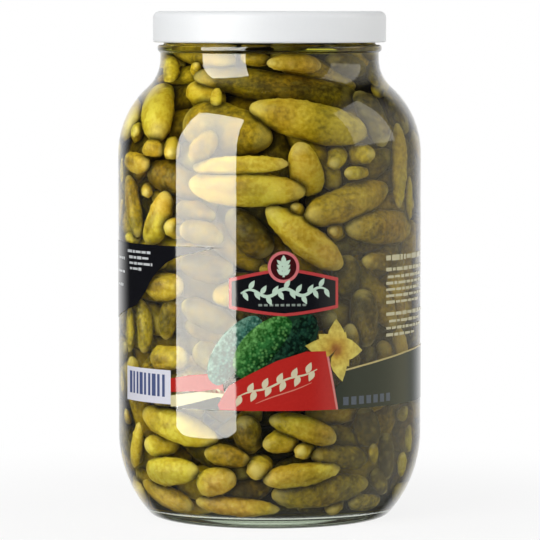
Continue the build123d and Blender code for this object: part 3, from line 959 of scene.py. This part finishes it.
def ballTemplate(around, along):  # a mesh of one ball and its points
    bm = bmesh.new()
    bmesh.ops.create_uvsphere(bm, u_segments=around, v_segments=along, radius=1.0)
    mesh = bpy.data.meshes.new("template")
    bm.to_mesh(mesh)
    bm.free()
    co = np.zeros(len(mesh.vertices) * 3)
    mesh.vertices.foreach_get("co", co)
    return mesh, co.reshape(-1, 3)


def makeGherkinPiece(name, members, rows, settled, material, around, along, detail):
    middle, turned, chains = settled
    template, ball = ballTemplate(around, along)
    bm = bmesh.new()
    for _ in members:
        bm.from_mesh(template)
    bpy.data.meshes.remove(template)
    found = {"place": [], "wart": [], "shade": [], "along": [], "hollow": []}
    for i in members:
        points, wart, s = gherkinPoints(rows[i], ball, detail)
        points = points @ turned[i].T + middle[i]
        found["place"].append(points * mm)
        found["wart"].append(wart)
        found["shade"].append(np.full(len(s), rows[i]["shade"]))
        found["along"].append(s)
        found["hollow"].append(hollowness(points, i, chains))
    mesh = bpy.data.meshes.new(name)
    bm.to_mesh(mesh)
    bm.free()
    mesh.vertices.foreach_set("co", np.concatenate(found.pop("place")).astype(np.float32).ravel())
    for label, values in found.items():
        layer = mesh.attributes.new(label, "FLOAT", "POINT")
        layer.data.foreach_set("value", np.concatenate(values).astype(np.float32))
    mesh.update()
    return addPiece(name, mesh, material, ["gherkins_in_brine"])


def makeGherkins(material, coreMaterial):
    g = gherkinSet
    rows = chooseGherkins()
    settled = settleGherkins(rows)
    near = np.hypot(settled[0][:, 0], settled[0][:, 1]) > g["deepR"]
    back = settled[0][:, 1] >= g["backFrom"]
    front = [i for i, row in enumerate(rows) if row["front"]]
    hidden = [i for i, row in enumerate(rows) if not row["front"]]
    groups = {  # members, then faces around and along each, fewer where little shows
        "gherkinsFrontPale": ([i for i in front if rows[i]["shade"] < g["paleShade"]], 34, 46),
        "gherkinsFrontDark": ([i for i in front if rows[i]["shade"] >= g["paleShade"]], 34, 46),
        "gherkinsBeside": ([i for i in hidden if near[i] and not back[i]], 26, 34),
        "gherkinsBack": ([i for i in hidden if near[i] and back[i]], 26, 34),
        "gherkinsDeep": ([i for i in hidden if not near[i]], 16, 20),
    }
    for name, (members, around, along) in groups.items():
        makeGherkinPiece(name, members, rows, settled, material, around, along, "Front" in name)
        print(name, len(members))
    makeCore(coreMaterial)


coreSet = {  # mm; it widens at the jar's floor
    "underLevel": 8.0, "round": 6.0, "waist": 32.0,
    "footR": 38.0, "foot": 9.5, "footRise": 1.0, "footRound": 5.0,
    "lumps": ((0.05, 5, 190, 0), (0.04, 3, -260, 1)),  # of the radius, times around, along, start
}


def makeCore(material):  # the dark middle of the heap
    c = coreSet
    r, edge, foot = settleSet["coreR"], c["round"], c["footRound"]
    top = brineSet["level"] - c["underLevel"]
    points = linePoints(0, c["foot"] + c["footRise"], c["footR"], c["foot"])
    points += arcPoints(c["footR"], c["foot"] + foot, foot, -90, 60, 2)
    points += linePoints(r, c["waist"], r, top - edge)
    points += arcPoints(r - edge, top - edge, edge, 0, 90, 2) + linePoints(r - edge, top, 0, top)
    bm = spinProfile(points, 64)
    for v in bm.verts:
        a = atan2(v.co.y, v.co.x)
        lump = sum(size * sin(times * a + along * v.co.z + start) for size, times, along, start in c["lumps"])
        v.co.x *= 1 + lump
        v.co.y *= 1 + lump
    makePiece("gherkinsMiddle", bm, material, ["gherkins_in_brine"])


def clearShader(tree, surface, depth=None):  # lamps shine straight through, as a clear wall lets them
    path = addNode(tree, "LightPath")
    through = addNode(tree, "BsdfTransparent")
    mix = addNode(tree, "MixShader", links={
        0: path.outputs["Is Shadow Ray"], 1: surface.outputs[0], 2: through.outputs[0]})
    last = addNode(tree, "OutputMaterial", links={"Surface": mix.outputs[0]})
    if depth:
        tree.links.new(depth.outputs[0], last.inputs["Volume"])


# pressed soda-lime flint glass: clear, with a faint green that shows in the foot, where one looks through
# much of it; its smooth face gives sharp highlights, and next to brine it hardly reflects
def flintGlass(name, reflect, colour="f6fcf7"):
    material, tree = newMaterial(name)
    surface = addNode(tree, "BsdfPrincipled", {
        "Base Color": linearColour(colour), "Roughness": 0.0, "IOR": glassIndex, "Transmission Weight": 1.0,
        "Specular Tint": (reflect, reflect, reflect, 1)})
    clearShader(tree, surface)
    return material


def clearBrine():  # vinegar brine: clear, a little denser in optics than water, yellow where it is deep
    material, tree = newMaterial("clearBrine")
    surface = addNode(tree, "BsdfPrincipled", {
        "Base Color": (1, 1, 1, 1), "Roughness": 0.0, "IOR": brineIndex, "Transmission Weight": 1.0,
        "Specular Tint": (0, 0, 0, 1)})
    # it takes out blue
    depth = addNode(tree, "VolumeAbsorption", {"Color": (0.90, 0.86, 0.20, 1), "Density": 50.0})
    clearShader(tree, surface, depth)
    return material


def clearFilm():  # clear polypropylene, glued flat on the glass, so only a breath of haze is left of it
    material, tree = newMaterial("clearPolypropyleneFilm")
    surface = addNode(tree, "BsdfPrincipled",
                      {"Base Color": linearColour("f1f2ee"), "Roughness": 0.08, "Alpha": 0.003})
    addNode(tree, "OutputMaterial", links={"Surface": surface.outputs[0]})
    return material


def inkSurface(tree, colour):  # varnished print lies smooth, with a faint waviness from the wrap
    place = addNode(tree, "TexCoord").outputs["Object"]
    wave = addNode(tree, "TexNoise", {"Scale": cells(8), "Detail": 1.0}, {"Vector": place})
    bump = addNode(tree, "Bump", {"Strength": 0.02, "Distance": 0.0003}, {"Height": wave.outputs["Fac"]})
    surface = addNode(tree, "BsdfPrincipled", {"Roughness": 0.06, "IOR": 1.5},
                      {"Base Color": colour, "Normal": bump.outputs[0]})
    addNode(tree, "OutputMaterial", links={"Surface": surface.outputs[0]})


def printedInk(name, one, two):  # gravure print: opaque and even, its grain drawn coarser so that it shows
    material, tree = newMaterial(name)
    place = addNode(tree, "TexCoord").outputs["Object"]
    grain = addNode(tree, "TexNoise", {"Scale": cells(1.1), "Detail": 2.0}, {"Vector": place})
    colour = addNode(tree, "Mix", {"data_type": "RGBA", 6: linearColour(one), 7: linearColour(two)},
                     {0: grain.outputs["Fac"]})
    inkSurface(tree, colour.outputs[2])
    return material


# printed fruit: round by its shades, dimpled, warts as dots
def printedCucumber(name, dark, light, middle):
    material, tree = newMaterial(name)
    place = addNode(tree, "TexCoord").outputs["Object"]
    across = addNode(tree, "Attribute", {"attribute_name": "across"})
    shade = addNode(tree, "MapRange", {"From Min": -1.0, "From Max": 1.0}, {"Value": across.outputs["Fac"]})
    ramp = addNode(tree, "ValToRGB", links={"Fac": shade.outputs[0]})
    ramp.color_ramp.elements[0].color = linearColour(dark)
    ramp.color_ramp.elements[1].color = linearColour(light)
    ramp.color_ramp.elements.new(0.55).color = linearColour(middle)
    rough = addNode(tree, "TexNoise", {"Scale": cells(2.6), "Detail": 3.0, "Roughness": 0.65},
                    {"Vector": place})
    hollow = addNode(tree, "MapRange", {"From Min": 0.42, "From Max": 0.62, "To Min": 0.85, "To Max": 0.0},
                     {"Value": rough.outputs["Fac"]})
    dimpled = addNode(tree, "Mix", {"data_type": "RGBA", "blend_type": "MULTIPLY", 7: linearColour(middle)},
                      {0: hollow.outputs[0], 6: ramp.outputs["Color"]})
    warts = addNode(tree, "TexVoronoi", {"Scale": cells(1.6)}, {"Vector": place})
    spot = addNode(tree, "MapRange", {"From Min": 0.15, "From Max": 0.5, "To Min": 0.45, "To Max": 0.0},
                   {"Value": warts.outputs["Distance"]})
    spotted = addNode(tree, "Mix", {"data_type": "RGBA", "blend_type": "SCREEN", 7: linearColour(light)},
                      {0: spot.outputs[0], 6: dimpled.outputs[2]})
    inkSurface(tree, spotted.outputs[2])
    return material


def printedFlower():  # printed petals: brown at the heart, golden, paler at the tips, with darker veins
    material, tree = newMaterial("inkYellowFlower")
    reach = addNode(tree, "Attribute", {"attribute_name": "across"})
    ramp = addNode(tree, "ValToRGB", links={"Fac": reach.outputs["Fac"]})
    ramp.color_ramp.elements[0].color = linearColour("8a5220")
    ramp.color_ramp.elements[1].color = linearColour("ccc060")
    for stop, colour in ((0.16, "a8742c"), (0.34, "ccab40"), (0.7, "dfcf62")):
        ramp.color_ramp.elements.new(stop).color = linearColour(colour)
    place = addNode(tree, "TexCoord").outputs["Object"]
    vein = addNode(tree, "TexNoise", {"Scale": cells(2.4), "Detail": 3.0}, {"Vector": place})
    tone = addNode(tree, "MapRange", {"From Min": 0.35, "From Max": 0.65, "To Max": 0.5},
                   {"Value": vein.outputs["Fac"]})
    veined = addNode(tree, "Mix", {"data_type": "RGBA", "blend_type": "MULTIPLY", 7: linearColour("b98f3a")},
                     {0: tone.outputs[0], 6: ramp.outputs["Color"]})
    inkSurface(tree, veined.outputs[2])
    return material


# pickled cucumber skin: dull yellow-green with soft blotches, paler warts and pale ends; the fine speckle
# of a real skin would not show, so it is drawn at about 2 mm
def pickledSkin():
    material, tree = newMaterial("pickledSkin")
    place = addNode(tree, "TexCoord").outputs["Object"]
    shade = addNode(tree, "Attribute", {"attribute_name": "shade"})
    wart = addNode(tree, "Attribute", {"attribute_name": "wart"})
    along = addNode(tree, "Attribute", {"attribute_name": "along"})
    patches = addNode(tree, "TexNoise", {"Scale": cells(12), "Detail": 2.0, "Roughness": 0.5},
                      {"Vector": place})
    speckle = addNode(tree, "TexNoise", {"Scale": cells(1.9), "Detail": 2.0, "Roughness": 0.55},
                      {"Vector": place})
    patchOff = addNode(tree, "Math", {"operation": "MULTIPLY_ADD", 1: 0.9, 2: -0.45},
                       {0: patches.outputs["Fac"]})
    speckOff = addNode(tree, "Math", {"operation": "MULTIPLY_ADD", 1: 0.8, 2: -0.40},
                       {0: speckle.outputs["Fac"]})
    offset = addNode(tree, "Math", {"operation": "ADD"}, {0: patchOff.outputs[0], 1: speckOff.outputs[0]})
    toned = addNode(tree, "Math", {"operation": "ADD", "use_clamp": True},
                    {0: shade.outputs["Fac"], 1: offset.outputs[0]})
    base = addNode(tree, "ValToRGB", links={"Fac": toned.outputs[0]})
    ramp = base.color_ramp
    ramp.elements[0].color = linearColour("d4ba3e")
    ramp.elements[1].color = linearColour("322703")
    for stop, colour in ((0.2, "c3a21e"), (0.4, "a6880d"), (0.6, "7d6607"), (0.8, "544405")):
        ramp.elements.new(stop).color = linearColour(colour)
    ripeness = addNode(tree, "TexNoise", {"Scale": cells(33), "Detail": 1.0}, {"Vector": place})
    hue = addNode(tree, "MapRange", {"From Min": 0.35, "From Max": 0.65, "To Min": 0.485, "To Max": 0.512},
                  {"Value": ripeness.outputs["Fac"]})
    ripe = addNode(tree, "HueSaturation", {"Saturation": 0.98, "Value": 0.9},
                   {"Hue": hue.outputs[0], "Color": base.outputs["Color"]})
    wartTone = addNode(tree, "Math", {"operation": "MULTIPLY", 1: 0.55}, {0: wart.outputs["Fac"]})
    warty = addNode(tree, "Mix", {"data_type": "RGBA", "blend_type": "SCREEN", 7: linearColour("80743a")},
                    {0: wartTone.outputs[0], 6: ripe.outputs["Color"]})
    tipDistance = addNode(tree, "Math", {"operation": "ABSOLUTE"}, {0: along.outputs["Fac"]})
    tip = addNode(tree, "MapRange", {"From Min": 0.74, "From Max": 1.0, "To Max": 0.5},
                  {"Value": tipDistance.outputs[0]})
    pale = addNode(tree, "Mix", {"data_type": "RGBA", 7: linearColour("d9c684")},
                   {0: tip.outputs[0], 6: warty.outputs[2]})
    bump = addNode(tree, "Bump", {"Strength": 0.6, "Distance": 0.0005}, {"Height": speckle.outputs["Fac"]})
    # painted shade where gherkins meet: the skin colour is mixed towards dark brown
    close = addNode(tree, "Attribute", {"attribute_name": "hollow"})
    hollow = addNode(tree, "MapRange", {"From Min": 0.0, "From Max": 0.9, "To Min": 0.0, "To Max": 0.85},
                     {"Value": close.outputs["Fac"]})
    settled = addNode(tree, "Mix", {"data_type": "RGBA", 7: linearColour("2a2208")},
                      {0: hollow.outputs[0], 6: pale.outputs[2]})
    surface = addNode(tree, "BsdfPrincipled", {"Roughness": 0.5, "Specular IOR Level": 0.12},
                      {"Base Color": settled.outputs[2], "Normal": bump.outputs[0]})
    addNode(tree, "OutputMaterial", links={"Surface": surface.outputs[0]})
    return material


def darkMiddle():  # pickles so deep in the heap that only dull brown shade is left of them
    material, tree = newMaterial("shadedPickles")
    place = addNode(tree, "TexCoord").outputs["Object"]
    noise = addNode(tree, "TexNoise", {"Scale": cells(16), "Detail": 3.0}, {"Vector": place})
    colour = addNode(tree, "Mix", {"data_type": "RGBA", 6: linearColour("1d1806"),
                                   7: linearColour("3b3210")},
                     {0: noise.outputs["Fac"]})
    surface = addNode(tree, "BsdfPrincipled", {"Roughness": 0.6, "Specular IOR Level": 0.1},
                      {"Base Color": colour.outputs[2]})
    addNode(tree, "OutputMaterial", links={"Surface": surface.outputs[0]})
    return material


# stoved enamel on tinplate: clean white and half matt; its orange peel is too fine to show and is
# drawn coarser
def whiteEnamel():
    material, tree = newMaterial("whiteEnamelTinplate")
    place = addNode(tree, "TexCoord").outputs["Object"]
    peel = addNode(tree, "TexNoise", {"Scale": cells(1.4), "Detail": 2.0}, {"Vector": place})
    bump = addNode(tree, "Bump", {"Strength": 0.05, "Distance": 0.0002}, {"Height": peel.outputs["Fac"]})
    tone = addNode(tree, "Mix", {"data_type": "RGBA", 6: linearColour("f2f4f6"), 7: linearColour("f5f7f8")},
                   {0: peel.outputs["Fac"]})
    surface = addNode(tree, "BsdfPrincipled", {"Roughness": 0.45, "IOR": 1.5, "Specular IOR Level": 0.2},
                      {"Base Color": tone.outputs[2], "Normal": bump.outputs[0]})
    addNode(tree, "OutputMaterial", links={"Surface": surface.outputs[0]})
    return material


def areaLight(name, place, aim, width, height, radiance, colour=(1, 1, 1), **seen):
    data = bpy.data.lights.new(name, "AREA")
    data.color = colour
    data.shape = "RECTANGLE"
    data.size, data.size_y = width, height
    data.energy = radiance * width * height * pi  # so that the panel's face has this radiance
    lamp = bpy.data.objects.new(name, data)
    bpy.context.scene.collection.objects.link(lamp)
    lamp.location = place
    lamp.rotation_mode = "QUATERNION"
    lamp.rotation_quaternion = (Vector(aim) - Vector(place)).to_track_quat("-Z", "Y")
    lamp.visible_camera = False
    lamp.visible_transmission = False
    lamp.visible_volume_scatter = False
    lamp.visible_glossy = seen.get("glossy", True)
    lamp.visible_diffuse = seen.get("diffuse", True)
    return lamp


# a place round the jar; azimuth 0 is the camera's side, right is +
def besideJar(azimuth, distance, height):
    return (sin(radians(azimuth)) * distance, -cos(radians(azimuth)) * distance, height)


lightSet = {
    "key": dict(azimuth=-38, distance=1.5, height=0.95, size=0.9, radiance=5.0),
    "fill": dict(azimuth=55, distance=1.6, height=0.7, size=0.9, radiance=1.25),
    "kicker": dict(azimuth=100, distance=1.4, height=0.5, size=0.6, radiance=3.6),
    "strip": dict(azimuth=-48.5, distance=1.0, low=-0.068, high=1.30, width=0.90, radiance=11.6,
                  colour=(1.0, 0.975, 0.91)),
    "pane": dict(azimuth=88, distance=1.0, low=0.34, high=1.30, width=0.80, radiance=1.8,
                 colour=(1.0, 0.96, 0.86)),
    "aim": (0, 0, 0.115),
}

worldSet = {  # from where to where a shade rises softly, and its strength at both ends
    "lightFrom": (-0.60, -0.38, 0.70),
    "room": (-0.6, 1.0, 0.08, 0.52),
    "back": (0.66, 0.92, 0.0, 1.0),
    "side": (0.5, 0.95, 0.02, 1.2),
    "under": (-0.35, -0.9, 0.0, 0.3),
}


def makeLights():
    for name in ("key", "fill", "kicker"):
        s = lightSet[name]
        place = besideJar(s["azimuth"], s["distance"], s["height"])
        areaLight(name, place, lightSet["aim"], s["size"], s["size"], s["radiance"], glossy=False)
    for name in ("strip", "pane"):  # a tall softbox and a window that only show in the gloss
        s = lightSet[name]
        z = (s["high"] + s["low"]) / 2
        place = besideJar(s["azimuth"], s["distance"], z)
        areaLight(name, place, (0, 0, z), s["width"], s["high"] - s["low"], s["radiance"], s["colour"],
                  diffuse=False)


def makeWorld():
    world = bpy.data.worlds.new("studio")
    bpy.context.scene.world = world
    world.use_nodes = True
    tree = world.node_tree
    tree.nodes.clear()
    path = addNode(tree, "LightPath")
    way = addNode(tree, "TexCoord").outputs["Generated"]
    axes = addNode(tree, "SeparateXYZ", links={0: way})
    facing = addNode(tree, "VectorMath", {"operation": "DOT_PRODUCT", 1: worldSet["lightFrom"]}, {0: way})
    # the room lights from above, left and the front; in reflections it is white far behind the jar, with a
    # dim panel at its right and a dark studio in front
    sources = {"room": facing.outputs["Value"], "back": axes.outputs["Y"], "side": axes.outputs["X"],
               "under": axes.outputs["Z"]}
    shade = {}
    for name, source in sources.items():
        low, high, start, end = worldSet[name]
        soft = addNode(tree, "MapRange", {
            "interpolation_type": "SMOOTHSTEP", "From Min": low, "From Max": high,
            "To Min": start, "To Max": end}, {"Value": source})
        shade[name] = soft.outputs[0]
    backOrUnder = addNode(tree, "Math", {"operation": "MAXIMUM"}, {0: shade["back"], 1: shade["under"]})
    mirrored = addNode(tree, "Math", {"operation": "ADD"}, {0: backOrUnder.outputs[0], 1: shade["side"]})
    # straight through the glass and to the camera it is white
    bounced = addNode(tree, "Math", {"operation": "GREATER_THAN", 1: 0.5},
                      {0: path.outputs["Diffuse Depth"]})
    lit = addNode(tree, "Math", {"operation": "MAXIMUM"},
                  {0: bounced.outputs[0], 1: path.outputs["Is Diffuse Ray"]})
    clear = addNode(tree, "Mix", {"data_type": "FLOAT", 2: 1.0}, {0: lit.outputs[0], 3: shade["room"]})
    strength = addNode(tree, "Mix", {"data_type": "FLOAT"},
                       {0: path.outputs["Is Glossy Ray"], 2: clear.outputs[0], 3: mirrored.outputs[0]})
    warm = addNode(tree, "Math", {"operation": "MULTIPLY"},
                   {0: shade["side"], 1: path.outputs["Is Glossy Ray"]})
    tint = addNode(tree, "Mix", {"data_type": "RGBA", 6: (1, 1, 1, 1), 7: linearColour("ece2c4")},
                   {0: warm.outputs[0]})
    sky = addNode(tree, "Background", {}, {"Color": tint.outputs[2], "Strength": strength.outputs[0]})
    addNode(tree, "OutputWorld", links={"Surface": sky.outputs[0]})


# m; "shadow" is how much of the jar's shadow shows near it
floorSet = {"size": 4.0, "shadow": 0.14, "near": 0.09, "far": 0.3}


def makeFloor():  # pale paper that fades to pure white away from the jar, so only the soft shadow shows
    s = floorSet
    bm = bmesh.new()
    bmesh.ops.create_grid(bm, x_segments=1, y_segments=1, size=s["size"])
    mesh = bpy.data.meshes.new("floor")
    bm.to_mesh(mesh)
    bm.free()
    floor = bpy.data.objects.new("floor", mesh)
    bpy.context.scene.collection.objects.link(floor)
    material, tree = newMaterial("paleFloor")
    path = addNode(tree, "LightPath")
    place = addNode(tree, "TexCoord").outputs["Object"]
    away = addNode(tree, "VectorMath", {"operation": "LENGTH"}, {0: place})
    whiter = addNode(tree, "MapRange", {
        "interpolation_type": "SMOOTHSTEP", "From Min": s["near"], "From Max": s["far"],
        "To Min": 1 - s["shadow"], "To Max": 1.0}, {"Value": away.outputs["Value"]})
    seen = addNode(tree, "Math", {"operation": "ADD"},
                   {0: path.outputs["Is Camera Ray"], 1: path.outputs["Is Transmission Ray"]})
    first = addNode(tree, "Math", {"operation": "LESS_THAN", 1: 0.5}, {0: path.outputs["Diffuse Depth"]})
    seenFirst = addNode(tree, "Math", {"operation": "MULTIPLY", "use_clamp": True},
                        {0: seen.outputs[0], 1: first.outputs[0]})
    share = addNode(tree, "Math", {"operation": "MULTIPLY"},
                    {0: seenFirst.outputs[0], 1: whiter.outputs[0]})
    matt = addNode(tree, "BsdfDiffuse", {"Color": linearColour("f4f4f4")})
    glow = addNode(tree, "Emission", {"Color": (1, 1, 1, 1), "Strength": 1.0})
    mix = addNode(tree, "MixShader", links={0: share.outputs[0], 1: matt.outputs[0], 2: glow.outputs[0]})
    addNode(tree, "OutputMaterial", links={"Surface": mix.outputs[0]})
    mesh.materials.append(material)
    floor.visible_glossy = False


def makeScene():
    scene = bpy.context.scene
    scene.view_settings.view_transform = "Standard"
    cycles = scene.cycles
    cycles.max_bounces = 16
    cycles.diffuse_bounces = 4
    cycles.glossy_bounces = 6
    cycles.transmission_bounces = 16
    cycles.transparent_max_bounces = 32
    cycles.caustics_refractive = True
    makeCamera()
    glass = flintGlass("flintGlass", 1.0)
    wetGlass = flintGlass("flintGlassWet", 0.1)
    footGlass = flintGlass("flintGlassFoot", 1.0, "a9b8a1")
    makeJar(glass, wetGlass, footGlass, brineSet["level"])
    print("jar made")
    makeLid(whiteEnamel())
    print("lid made")
    makeLabel()
    print("label made")
    makeBrine(clearBrine())
    makeGherkins(pickledSkin(), darkMiddle())
    print("gherkins made")
    makeLights()
    makeWorld()
    makeFloor()


makeScene()
